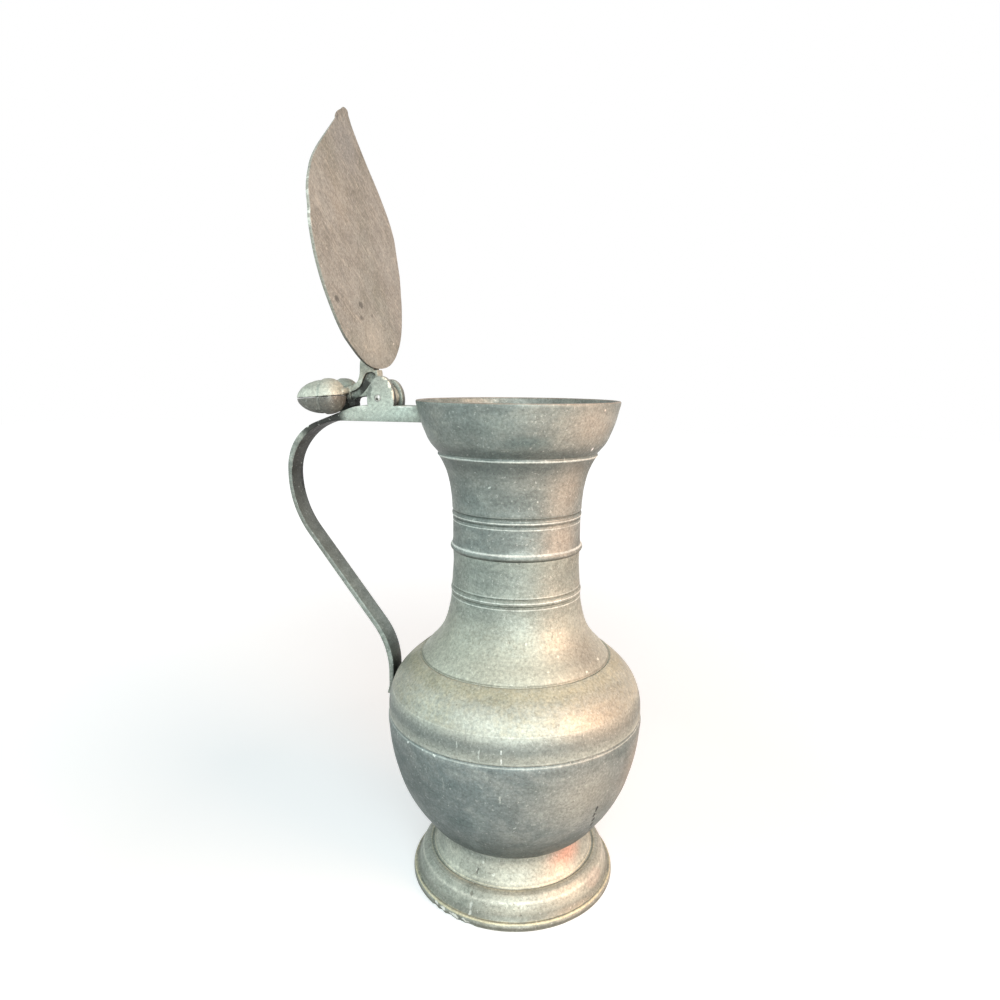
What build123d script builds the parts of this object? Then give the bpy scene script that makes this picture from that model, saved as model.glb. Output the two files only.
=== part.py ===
from build123d import *
import os
from math import cos, radians, sin

# A lidded pewter flagon of the Norman kind, in millimetres, +Z up.
# The origin is the centre of the face that the foot stands on. The handle is towards -X,
# so the flagon pours towards +X, and the hinge pin lies along Y.
# At rest the lid is thrown back and its twin acorns lie on the shoulder of the handle.

# Heights of the lines where the castings of the vessel meet
RIM_Z = 232.0
COLLAR_Z = 206.8
NECK_JOINT_Z = 163.2
SHOULDER_Z = 112.8
BELLY_SEAM_Z = 85.2
FOOT_TOP_Z = 25.5

# Outer radii of the vessel
RIM_R = 46.7
COLLAR_FOOT_R = 36.1
NECK_R = 29.8
SHOULDER_R = 44.9
SHOULDER_LEDGE = 1.0
BELLY_R = 60.9
BELLY_SEAM_R = 60.6
FOOT_NECK_R = 34.2
FOOT_R = 49.6

# Metal thickness
WALL = 2.2
RIM_WALL = 2.0
FLOOR_DISC_R = 24.0
FLOOR_DISC_T = 2.0
FLOOR_Z = 20.8

# Handle
BAR_TOP_Z = 228.7
BAR_UNDER_Z = 221.6
BAR_WIDTH = 14.0
STRAP_WIDTH = 11.2
STRAP_THICKNESS = 2.1
STRAP_BACK_X = -114.4
STRAP_END_X = -62.9
STRAP_SEAT_X = -60.2
STRAP_END_Z = 85.6
TAPER_TOP_Z = 221.6
TAPER_END_Z = 204.0

# Hinge
PIN_X = -65.6
PIN_Z = 232.1
PIN_R = 1.5
PIN_HEAD = 0.4
BORE_CLEARANCE = 0.05
KNUCKLE_R = 7.0
KNUCKLE_WIDTH = 6.6
SLOT_WIDTH = 6.9
SLOT_R = 7.4
EAR_X = -63.8
EAR_HALF_LENGTH = 6.7
EAR_TOP_Z = 241.6
EAR_CENTRE_Z = 231.0
SWING = 98.2

# Lid, measured along its own length from the pin when it is shut
LID_BACK = 13.7
LID_TIP = 131.5
LID_HALF_WIDTH = 47.5
LID_WIDEST = 67.0
LID_CROWN = 3.4
LID_CROWN_R = 900.0
LID_TIP_ROUND = 2.4

# Thumbpiece, with s along the lid and h above its underside
ARM_TOP_H = 17.6
ARM_BACK_S = 1.2
HEEL_INNER_H = 10.2
HEEL_INNER_S = -1.85
HEEL_OUTER_S = -2.45
YOKE_HALF_WIDTH = 10.2
ACORN_S = 4.5
ACORN_Y = 8.2
ACORN_BACK_H = 16.0
ACORN_LIP_H = 25.0
ACORN_TIP_H = 39.7
ACORN_LIP_R = 8.05
NUT_R = 7.45

# Outer curves of the castings that others are fitted against, as (radius, height), foot to top
COLLAR_SKIN = [
    (COLLAR_FOOT_R, COLLAR_Z),
    (38.8, 210.8),
    (42.0, 215.8),
    (44.4, 222.0),
    (RIM_R, RIM_Z),
]
UPPER_BELLY_SKIN = [
    (BELLY_SEAM_R, BELLY_SEAM_Z),
    (60.2, 92.8),
    (57.7, 100.2),
    (52.8, 106.7),
    (SHOULDER_R + SHOULDER_LEDGE, SHOULDER_Z),
]
BOWL_SKIN = [
    (FLOOR_DISC_R, FLOOR_Z),
    (FOOT_NECK_R, 25.4),
    (42.6, 32.4),
    (49.3, 41.8),
    (55.9, 55.7),
    (60.2, 74.2),
    (BELLY_R, BELLY_SEAM_Z),
]


def turned(outer, inner):
    """A ring turned about Z. Both lists of (radius, height) run from its foot to its top."""
    skin = Spline(*[(r, 0, z) for r, z in outer])
    bore = Spline(*[(r, 0, z) for r, z in inner])
    top = Line(skin @ 1, bore @ 1)
    foot = Line(bore @ 0, skin @ 0)
    face = make_face([skin, top, bore, foot])
    return revolve(face, Axis.Z)


def core_of(skin_points):
    """All that lies inside a casting's outer curve, for cutting the seat of a piece fitted to it."""
    skin = Spline(*[(r, 0, z) for r, z in skin_points])
    top = Line(skin @ 1, (0, 0, skin_points[-1][1]))
    axis = Line(top @ 1, (0, 0, skin_points[0][1]))
    floor = Line(axis @ 1, skin @ 0)
    return revolve(make_face([skin, top, axis, floor]), Axis.Z)


def hollowed(outer, wall):
    """The same curve set in by the wall."""
    return [(r - wall, z) for r, z in outer]


def bead(radius, z, height):
    """A half-round band standing on a wall."""
    ring = Plane.XZ * Pos(radius, z) * Ellipse(height * 0.5, height)
    return revolve(ring, Axis.Z)


def groove(radius, z, depth):
    """A round-bottomed turned line, to cut from a wall."""
    ring = Plane.XZ * Pos(radius, z) * Circle(depth)
    return revolve(ring, Axis.Z)


def collar():
    """The flared mouth. A half-round band runs round its foot."""
    inner = [
        (COLLAR_FOOT_R - WALL, COLLAR_Z),
        (36.2, 210.8),
        (39.6, 215.8),
        (42.3, 222.0),
        (RIM_R - RIM_WALL, RIM_Z),
    ]
    return turned(COLLAR_SKIN, inner) + bead(COLLAR_FOOT_R + 0.1, COLLAR_Z + 0.95, 0.9)


def upper_neck():
    """The concave tube under the collar, with a turned double line and a raised band."""
    outer = [
        (NECK_R, NECK_JOINT_Z),
        (29.8, 173.0),
        (30.1, 184.0),
        (31.5, 195.0),
        (33.4, 201.2),
        (COLLAR_FOOT_R, COLLAR_Z),
    ]
    tube = turned(outer, hollowed(outer, WALL))
    tube += bead(29.9, NECK_JOINT_Z + 1.5, 0.9)
    for height in (178.8, 181.9):
        tube -= groove(29.95, height, 0.45)
    return tube


def lower_neck():
    """The neck's lower half and the shoulder that it spreads into."""
    outer = [
        (SHOULDER_R, SHOULDER_Z),
        (42.1, 116.0),
        (37.9, 120.6),
        (34.0, 126.7),
        (31.2, 136.7),
        (30.2, 147.0),
        (29.6, 158.0),
        (NECK_R, NECK_JOINT_Z),
    ]
    tube = turned(outer, hollowed(outer, WALL))
    for height in (142.9, 146.2):
        tube -= groove(30.35, height, 0.45)
    return tube


def upper_belly():
    """The upper half of the belly, from the belly seam to the shoulder seam."""
    inner = [
        (BELLY_SEAM_R - WALL, BELLY_SEAM_Z),
        (57.9, 92.6),
        (55.2, 99.2),
        (50.4, 105.2),
        (SHOULDER_R - WALL, SHOULDER_Z),
    ]
    return turned(UPPER_BELLY_SKIN, inner)


def lower_belly():
    """The lower half of the belly, a deep bowl with a hole that the floor disc closes."""
    inner = [
        (FLOOR_DISC_R, FLOOR_Z + WALL),
        (33.2, 27.7),
        (40.9, 34.0),
        (47.4, 42.9),
        (53.8, 56.4),
        (58.0, 74.4),
        (BELLY_R - WALL - 0.4, BELLY_SEAM_Z),
    ]
    return turned(BOWL_SKIN, inner)


def base_disc():
    """The round plate let into the bottom of the bowl."""
    disc = Pos(0, 0, FLOOR_Z) * Cylinder(
        FLOOR_DISC_R, FLOOR_DISC_T, align=(Align.CENTER, Align.CENTER, Align.MIN)
    )
    return chamfer(disc.edges().group_by(Axis.Z)[-1], 0.4)


def foot():
    """The hollow foot: a concave stem, a turned step, a sloping band and a rounded rim."""
    stem = Spline((FOOT_NECK_R, 0, FOOT_TOP_Z), (35.4, 0, 19.6), (39.7, 0, 13.3))
    step = Line(stem @ 1, (40.4, 0, 14.0))
    roll = Spline(step @ 1, (42.9, 0, 12.6), (46.2, 0, 7.2), (48.0, 0, 3.5))
    rim = Spline(roll @ 1, (49.2, 0, 2.9), (FOOT_R, 0, 1.4), (49.4, 0, 0))
    face_line = Line(rim @ 1, (45.4, 0, 0))
    cove = Spline(face_line @ 1, (44.2, 0, 5.2), (39.6, 0, 10.9), (33.2, 0, 17.4), (31.8, 0, 23.9))
    seat = Line(cove @ 1, stem @ 0)
    shell = revolve(make_face([stem, step, roll, rim, face_line, cove, seat]), Axis.Z)
    return shell - core_of(BOWL_SKIN)


def pin_cylinder(radius, width):
    """A cylinder along the hinge axis, centred on the handle's middle plane."""
    return Pos(PIN_X, 0, PIN_Z) * Rot(90, 0, 0) * Cylinder(radius, width)


def side_plate(face, width):
    """A face drawn in the handle's middle plane, thickened evenly to both sides."""
    return Pos(0, width / 2, 0) * extrude(face, width, dir=(0, -1, 0))


def strap_profile():
    """The handle seen from the side: a bar at the rim that thins into a long curved strap."""
    back = FilletPolyline(
        (-40.0, 0, BAR_TOP_Z),
        (-76.5, 0, BAR_TOP_Z),
        (STRAP_BACK_X, 0, 215.8),
        (STRAP_BACK_X, 0, 178.2),
        (STRAP_END_X, 0, 110.0),
        (STRAP_END_X, 0, STRAP_END_Z),
        radius=[25.0, 25.0, 50.0, 30.0],
    )
    front = FilletPolyline(
        (-40.0, 0, BAR_UNDER_Z),
        (STRAP_BACK_X + STRAP_THICKNESS, 0, BAR_UNDER_Z),
        (STRAP_BACK_X + STRAP_THICKNESS, 0, 178.5),
        (STRAP_SEAT_X, 0, 109.6),
        (STRAP_SEAT_X, 0, STRAP_END_Z),
        radius=[27.0, 46.0, 32.0],
    )
    end = Line(back @ 1, front @ 1)
    root = Line(back @ 0, front @ 0)
    return make_face([*back.edges(), end, *front.edges(), root])


def handle():
    """One casting: the bar on the collar, the strap down to the belly and the two hinge ears."""
    strap = side_plate(strap_profile(), BAR_WIDTH)
    half_bar = BAR_WIDTH / 2
    half_strap = STRAP_WIDTH / 2
    front_view = Polyline(
        (0, half_bar, RIM_Z),
        (0, half_bar, TAPER_TOP_Z),
        (0, half_strap, TAPER_END_Z),
        (0, half_strap, 0),
        (0, -half_strap, 0),
        (0, -half_strap, TAPER_END_Z),
        (0, -half_bar, TAPER_TOP_Z),
        (0, -half_bar, RIM_Z),
        close=True,
    )
    strap = strap & extrude(make_face(front_view), 200, dir=(-1, 0, 0))
    dome = Plane.XZ * Pos(EAR_X, EAR_CENTRE_Z) * Ellipse(EAR_HALF_LENGTH, EAR_TOP_Z - EAR_CENTRE_Z)
    root = Plane.XZ * Pos(EAR_X, BAR_TOP_Z) * Rectangle(2 * EAR_HALF_LENGTH, 2 * (EAR_CENTRE_Z - BAR_TOP_Z))
    above = Pos(EAR_X, 0, BAR_UNDER_Z + 1) * Box(40, 40, 40, align=(Align.CENTER, Align.CENTER, Align.MIN))
    ears = side_plate(dome + root, BAR_WIDTH) & above
    casting = strap + ears
    casting -= pin_cylinder(SLOT_R, SLOT_WIDTH)
    gap = Pos(EAR_X, 0, BAR_TOP_Z) * Box(40, SLOT_WIDTH, 20, align=(Align.CENTER, Align.CENTER, Align.MIN))
    casting -= gap
    casting -= pin_cylinder(PIN_R, 40)
    casting -= core_of(COLLAR_SKIN)
    return casting - core_of(UPPER_BELLY_SKIN)


def hinge_pin():
    """The pin, tight in both ears and hammered over at its ends."""
    pin = pin_cylinder(PIN_R, BAR_WIDTH + 2 * PIN_HEAD)
    return chamfer(pin.edges().filter_by(GeomType.CIRCLE), 0.3)


def opened(shape):
    """Turns a piece from the shut lid's place, s along X and h along Z, to the open one."""
    return Pos(PIN_X, 0, PIN_Z) * Rot(0, -SWING, 0) * shape


def lid_plate():
    """The lid: flat below, faintly crowned above, round at the back and pointed at the front."""
    side = Spline(
        (LID_BACK, 0, 0),
        (22.7, 26.4, 0),
        (40.0, 39.9, 0),
        (LID_WIDEST, LID_HALF_WIDTH, 0),
        (84.0, 45.6, 0),
        (96.3, 38.8, 0),
        (106.0, 28.9, 0),
        tangents=[(0, 1, 0), (1, -1.1, 0)],
    )
    flank = Line(side @ 1, (LID_TIP - LID_TIP_ROUND * 0.8, LID_TIP_ROUND, 0))
    tip = ThreePointArc(flank @ 1, (LID_TIP, 0, 0), ((flank @ 1).X, -LID_TIP_ROUND, 0))
    other_flank = mirror(flank, Plane.XZ)
    other_side = mirror(side, Plane.XZ)
    blank = extrude(make_face([side, flank, tip, other_flank, other_side]), LID_CROWN, dir=(0, 0, 1))
    crown = Pos(-PIN_X, 0, LID_CROWN - LID_CROWN_R) * Sphere(LID_CROWN_R)
    return blank & crown


def acorn():
    """One acorn standing in its cup, along Z, before it is split."""
    cup = Spline(
        (0, 0, ACORN_BACK_H),
        (5.6, 0, ACORN_BACK_H + 1.7),
        (ACORN_LIP_R - 0.3, 0, ACORN_BACK_H + 4.6),
        (ACORN_LIP_R, 0, ACORN_LIP_H - 0.9),
        tangents=[(1, 0, 0.05), (0, 0, 1)],
    )
    lip = Line(cup @ 1, (NUT_R, 0, ACORN_LIP_H))
    nut = Spline(
        lip @ 1,
        (NUT_R - 0.15, 0, 29.7),
        (6.5, 0, 33.7),
        (4.9, 0, 36.8),
        (0, 0, ACORN_TIP_H),
        tangents=[(0, 0, 1), (-1, 0, 0.25)],
    )
    core = Line(nut @ 1, cup @ 0)
    return Pos(ACORN_S, 0, 0) * revolve(make_face([cup, lip, nut, core]), Axis.Z)


def half_space(front):
    """The side of the mould's parting plane that a half of an acorn lies on."""
    side = Align.MIN if front else Align.MAX
    return Pos(ACORN_S, 0, 0) * Box(60, 60, 120, align=(side, Align.CENTER, Align.CENTER))


def thumbpiece():
    """One casting: the hinge knuckle, the arm on the lid, the yoke and the acorns' front halves."""
    ridge = Spline(
        (36.0, 0, 2.4),
        (27.0, 0, 4.0),
        (18.3, 0, 7.7),
        (11.0, 0, 9.4),
        (7.8, 0, 12.8),
        (7.6, 0, ARM_TOP_H),
        tangents=[(-1, 0, 0.1), (0, 0, 1)],
    )
    head = Line(ridge @ 1, (ARM_BACK_S, 0, ARM_TOP_H))
    # The heel stops the open lid on the shoulder of the handle.
    heel = Polyline(
        head @ 1,
        (ARM_BACK_S, 0, ACORN_BACK_H),
        (HEEL_OUTER_S, 0, ACORN_BACK_H),
        (HEEL_INNER_S, 0, HEEL_INNER_H),
        (ARM_BACK_S, 0, HEEL_INNER_H),
        (ARM_BACK_S, 0, 0),
    )
    belly = Line(heel @ 1, (6.0, 0, -0.4))
    sole = Line(belly @ 1, (36.0, 0, -0.4))
    nose = Line(sole @ 1, ridge @ 0)
    outline = [ridge, head, *heel.edges(), belly, sole, nose]
    arm = side_plate(make_face(outline), KNUCKLE_WIDTH)
    knuckle = Rot(90, 0, 0) * Cylinder(KNUCKLE_R, KNUCKLE_WIDTH)
    yoke_face = Polyline(
        (0, -KNUCKLE_WIDTH / 2, 8.5),
        (0, KNUCKLE_WIDTH / 2, 8.5),
        (0, YOKE_HALF_WIDTH, 15.0),
        (0, YOKE_HALF_WIDTH, ARM_TOP_H + 1),
        (0, -YOKE_HALF_WIDTH, ARM_TOP_H + 1),
        (0, -YOKE_HALF_WIDTH, 15.0),
        close=True,
    )
    yoke = Pos(ACORN_S, 0, 0) * extrude(make_face(yoke_face), 3.0, dir=(1, 0, 0))
    casting = arm + knuckle + yoke
    for side in (-1, 1):
        casting += Pos(0, side * ACORN_Y, 0) * (acorn() & half_space(True))
        casting -= Pos(0, side * ACORN_Y, 0) * (acorn() & half_space(False))
    casting -= Rot(90, 0, 0) * Cylinder(PIN_R + BORE_CLEARANCE, 40)
    casting -= Pos(LID_BACK + 0.1, 0, 0) * Box(60, 40, 10, align=(Align.MIN, Align.CENTER, Align.MAX))
    return casting - lid_plate()


def acorn_back(side):
    """The back half of one acorn, soldered to the front half along the parting line."""
    return Pos(0, side * ACORN_Y, 0) * (acorn() & half_space(False))


NODES = {
    "foot": foot(),
    "base_disc": base_disc(),
    "lower_belly": lower_belly(),
    "upper_belly": upper_belly(),
    "lower_neck": lower_neck(),
    "upper_neck": upper_neck(),
    "collar": collar(),
    "handle": handle(),
    "hinge_pin": hinge_pin(),
    "lid": opened(lid_plate()),
    "thumbpiece": opened(thumbpiece()),
    "right_acorn_back": opened(acorn_back(-1)),
    "left_acorn_back": opened(acorn_back(1)),
}

os.makedirs("parts", exist_ok=True)
for name, solid in NODES.items():
    export_step(solid, f"parts/{name}.step")
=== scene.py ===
from math import atan2, cos, hypot, pi, radians, sin

import bpy
from mathutils import Matrix, Vector, noise


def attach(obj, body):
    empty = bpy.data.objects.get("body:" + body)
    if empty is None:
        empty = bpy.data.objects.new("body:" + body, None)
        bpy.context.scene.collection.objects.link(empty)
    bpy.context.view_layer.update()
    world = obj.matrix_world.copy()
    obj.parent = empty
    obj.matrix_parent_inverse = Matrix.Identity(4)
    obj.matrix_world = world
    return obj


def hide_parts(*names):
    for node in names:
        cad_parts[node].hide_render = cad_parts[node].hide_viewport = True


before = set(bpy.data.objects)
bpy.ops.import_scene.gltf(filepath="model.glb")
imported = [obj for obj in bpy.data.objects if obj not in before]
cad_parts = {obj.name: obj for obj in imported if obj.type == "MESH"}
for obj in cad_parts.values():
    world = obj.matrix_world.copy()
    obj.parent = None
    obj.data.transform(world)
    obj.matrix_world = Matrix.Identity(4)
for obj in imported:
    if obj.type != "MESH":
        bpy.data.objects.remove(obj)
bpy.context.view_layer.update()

MM = 0.001

# The room
# A pale table top under soft lamps: a broad cool one in front, a cool window at the left and a warm
# lamp at the right, which gives old pewter its green-grey side and its beige side.


def linear(colour):
    """The linear light of an sRGB hex colour."""
    parts = [int(colour[i:i + 2], 16) / 255 for i in (1, 3, 5)]
    return [p / 12.92 if p <= 0.04045 else ((p + 0.055) / 1.055) ** 2.4 for p in parts] + [1.0]


def put(tree, kind, sockets=(), stops=(), **settings):
    """Adds a shader node. A socket in place of a value is linked, and stops colour a ramp."""
    node = tree.nodes.new("ShaderNode" + kind)
    for name, value in settings.items():
        setattr(node, name, value)
    for name, value in dict(sockets).items():
        if isinstance(value, bpy.types.NodeSocket):
            tree.links.new(value, node.inputs[name])
        else:
            node.inputs[name].default_value = value
    for _ in stops[2:]:
        node.color_ramp.elements.new(0.5)
    for stop, (place, colour) in zip(node.color_ramp.elements if stops else (), stops):
        stop.position = place
        stop.color = linear(colour) if isinstance(colour, str) else (colour, colour, colour, 1)
    return node


def bare(name):
    """A new material with an empty node tree and its output."""
    material = bpy.data.materials.new(name)
    material.use_nodes = True
    material.node_tree.nodes.clear()
    return material, material.node_tree, put(material.node_tree, "OutputMaterial")


def alone():
    """Nothing is selected, so that the next tool works on its own piece only."""
    bpy.ops.object.select_all(action="DESELECT")


FLOOR_SIZE = 6.0
TABLE_WHITE = "#d8d8d8"
TABLE_SHADE = "#858583"
TABLE_GLOW_NEAR = 0.2
TABLE_GLOW_FAR = 0.9
TABLE_GLOW_LEAST = 0.55

alone()
bpy.ops.mesh.primitive_plane_add(size=FLOOR_SIZE, location=(0, 0, 0))
table = bpy.context.object
table.name = "table_top"
paint, tree, output = bare("matt white table paint")
rays = put(tree, "LightPath")
matt = put(tree, "BsdfDiffuse", {"Color": linear(TABLE_WHITE)})
table_place = put(tree, "TexCoord").outputs["Object"]
far = put(tree, "VectorMath", {0: table_place}, operation="LENGTH")
lift = put(tree, "MapRange", {
    "Value": far.outputs["Value"], "From Min": TABLE_GLOW_NEAR, "From Max": TABLE_GLOW_FAR,
    "To Min": TABLE_GLOW_LEAST, "To Max": 1.0,
})
glow = put(tree, "Emission", {"Color": (1, 1, 1, 1), "Strength": lift.outputs[0]})
lit = put(tree, "AddShader", {0: matt.outputs[0], 1: glow.outputs[0]})
seen = put(
    tree, "Math", {0: rays.outputs["Is Camera Ray"], 1: rays.outputs["Is Glossy Ray"]}, operation="MAXIMUM"
)
bounce = put(tree, "BsdfDiffuse", {"Color": linear(TABLE_SHADE)})
table_mix = put(tree, "MixShader", {0: seen.outputs[0], 1: bounce.outputs[0], 2: lit.outputs[0]})
tree.links.new(table_mix.outputs[0], output.inputs[0])
table.data.materials.append(paint)

ROOM_LIGHT = "#f2fbff"
ROOM_STRENGTH = 0.12

world = bpy.data.worlds.new("white room")
bpy.context.scene.world = world
world.use_nodes = True
tree = world.node_tree
tree.nodes.clear()
rays = put(tree, "LightPath")
camera_or_gloss = put(
    tree, "Math", {0: rays.outputs["Is Camera Ray"], 1: rays.outputs["Is Glossy Ray"]}, operation="MAXIMUM"
)
seen = put(
    tree, "Math", {0: camera_or_gloss.outputs[0], 1: rays.outputs["Is Transmission Ray"]}, operation="MAXIMUM"
)
dim = put(tree, "Background", {"Color": linear(ROOM_LIGHT), "Strength": ROOM_STRENGTH})
white = put(tree, "Background", {"Color": (1, 1, 1, 1), "Strength": 1.0})
both = put(tree, "MixShader", {0: seen.outputs[0], 1: dim.outputs[0], 2: white.outputs[0]})
tree.links.new(both.outputs[0], put(tree, "OutputWorld").inputs[0])

LAMP_AIM = Vector((-0.01, 0, 0.14))
LAMPS = [
    ("front lamp", (0.35, -0.95, 0.52), 0.8, 12.0, "#e8fbff"),
    ("left window", (-0.95, -0.35, 0.5), 0.8, 2.8, "#eafffb"),
    ("warm lamp", (0.9, -0.25, 0.42), 0.6, 10.0, "#ffcbaa"),
]
for name, place, size, power, colour in LAMPS:
    aim = (LAMP_AIM - Vector(place)).to_track_quat("-Z", "Y").to_euler()
    bpy.ops.object.light_add(type="AREA", location=place, rotation=aim)
    lamp = bpy.context.object
    lamp.name = name
    lamp.data.size = size
    lamp.data.energy = power
    lamp.data.color = linear(colour)[:3]

# Camera: a phone held just above the rim, a third of a metre away, turned a little to the
# pouring side of the handle's plane.
CAMERA_TURN = radians(11.7)
CAMERA_BACK = 0.33394
CAMERA_UP = 0.24208
CAMERA_YAW = radians(1.354)
CAMERA_PITCH = radians(9.584)
CAMERA_ROLL = radians(0.498)
CAMERA_LENS = 26.1
SENSOR_WIDTH = 36
NEAREST_SEEN = 0.01

heading = Matrix.Rotation(CAMERA_TURN + CAMERA_YAW, 3, "Z")
tilt = Matrix.Rotation(pi / 2 - CAMERA_PITCH, 3, "X")
roll = Matrix.Rotation(CAMERA_ROLL, 3, "Z")
camera_place = (CAMERA_BACK * sin(CAMERA_TURN), -CAMERA_BACK * cos(CAMERA_TURN), CAMERA_UP)
bpy.ops.object.camera_add(location=camera_place, rotation=(heading @ tilt @ roll).to_euler())
camera = bpy.context.object
camera.data.lens = CAMERA_LENS
camera.data.sensor_width = SENSOR_WIDTH
camera.data.clip_start = NEAREST_SEEN
bpy.context.scene.camera = camera
bpy.context.scene.view_settings.view_transform = "Standard"

# Foot
# A hollow pewter casting that carries the bowl. Its stem, step, rolled band and rim were turned
# on a lathe after casting. The rim is chipped at the left, and a fine crack runs down from the step.

TURNED_MERGE = 0.005
HOLLOW_DEPTH = 0.10
BROAD_HOLLOWS = 28
SMALL_HOLLOWS = 75
CHIPPED_BELOW = 2.6
CHIPPED_BEYOND = 47
CHIP_ROUGHNESS = 900
FOOT_CHIPS = [
    (-124, 2.0, 0.7), (-119, 1.8, 0.8), (-112.5, 3.4, 0.75), (-106, 2.0, 0.5), (-100.5, 2.6, 0.55),
]


def drawn_line(name, runs, closed=True, steps=7):
    """A line through (across, up) points in mm: each run is smooth, and runs meet in corners."""
    alone()
    bpy.ops.curve.primitive_bezier_curve_add()
    line = bpy.context.object
    line.name = name
    knots = []
    for run in runs:
        for i, place in enumerate(run):
            corner = i in (0, len(run) - 1)
            if knots and place == knots[-1][0]:
                continue
            knots.append((place, "VECTOR" if corner else "AUTO"))
    if closed and knots[0][0] == knots[-1][0]:
        knots.pop()
    spline = line.data.splines[0]
    spline.bezier_points.add(len(knots) - len(spline.bezier_points))
    for point, ((across, up), bend) in zip(spline.bezier_points, knots):
        point.co = (across * MM, 0, up * MM)
    for point, (place, bend) in zip(spline.bezier_points, knots):
        point.handle_left_type = point.handle_right_type = bend
    spline.use_cyclic_u = closed
    line.data.resolution_u = steps
    bpy.ops.object.convert(target="MESH")
    return bpy.context.object


def close_up(merge, fill=False):
    """Ends edit mode with doubles closer than merge mm joined, open ends filled and faces outwards."""
    bpy.ops.mesh.select_all(action="SELECT")
    bpy.ops.mesh.remove_doubles(threshold=merge * MM)
    if fill:
        bpy.ops.mesh.select_all(action="DESELECT")
        bpy.ops.mesh.select_non_manifold(extend=False)
        bpy.ops.mesh.edge_face_add()
        bpy.ops.mesh.select_all(action="SELECT")
    bpy.ops.mesh.normals_make_consistent(inside=False)
    bpy.ops.object.mode_set(mode="OBJECT")


def turned(name, runs, around=192, steps=7):
    """Spins a closed section once round the vessel's axis."""
    piece = drawn_line(name, runs, steps=steps)
    bpy.ops.object.mode_set(mode="EDIT")
    bpy.ops.mesh.select_all(action="SELECT")
    bpy.ops.mesh.spin(steps=around, angle=2 * pi, center=(0, 0, 0), axis=(0, 0, 1))
    close_up(TURNED_MERGE)
    return piece


def hand_worn(piece, depth=HOLLOW_DEPTH):
    """Draws the skin in by up to depth mm in soft hollows, as old thin pewter is never quite round."""
    for vertex in piece.data.vertices:
        place = vertex.co
        broad = noise.noise(place * BROAD_HOLLOWS) * 0.5
        small = noise.noise(place * SMALL_HOLLOWS + Vector((3, 1, 2))) * 0.25
        hollow = broad + small + 0.5
        radius = hypot(place.x, place.y)
        inward = max(0.0, hollow) * depth * MM / radius
        place.x *= 1 - inward
        place.y *= 1 - inward


def smooth(piece, angle=32):
    """Shades the piece round, with its real edges left sharp."""
    alone()
    piece.select_set(True)
    bpy.context.view_layer.objects.active = piece
    bpy.ops.object.shade_smooth_by_angle(angle=radians(angle))


def stain_or_painted_light(turn, height, radius, half_width, half_height, colour, strength):
    """A mark on a turned piece at its angle from the pouring side, its height and its radius in mm: a real
    mark, chip or crack, or a painted highlight, painted shade or painted warm lamp light.
    """
    place = (radius * cos(radians(turn)), radius * sin(radians(turn)), height)
    return place, (half_width, half_width, half_height), colour, strength


# The patterns in old pewter: the size in mm of the cloudy noise, its detail and its roughness.
PATTERNS = {
    "oxide": (46, 3, 0.55),
    "cast skin": (60, 4, 0.55),
    "polish": (2.4, 4, 0.75),
    "ragged": (7, 5, 0.75),
    "fray": (2.5, 3, 0.6),
    "grain": (1.25, 4, 0.78),
    "mottle": (4.4, 3, 0.65),
    "specks": (1.3, 2, 0.6),
    "pitted areas": (17, 2, 0.55),
}
STROKE_SIZE = 14
STROKE_SHARE = 0.62
STREAK_SIZE = 9
STREAK_STRETCH = (1, 1, 0.05)
SCRATCH_STRETCH = (1, 0.045, 1)
LATHE_STRETCH = (0.006, 0.006, 1.4)
POLISH_FADE = 9
BROAD_SEAM = 3
BROAD_MARK = 12.5
MARK_CORE = 0.55
FRAY_REACH = 2.2
CREVICE_REACH = 7
CREVICE_SHADE_AND_DIRT = "#22221d"
SPECK_WHITE = "#f2f3ea"
PIT_SPACING = 2.4
PIT_DARK = "#4c504a"
PIT_STRENGTH = 0.45


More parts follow.
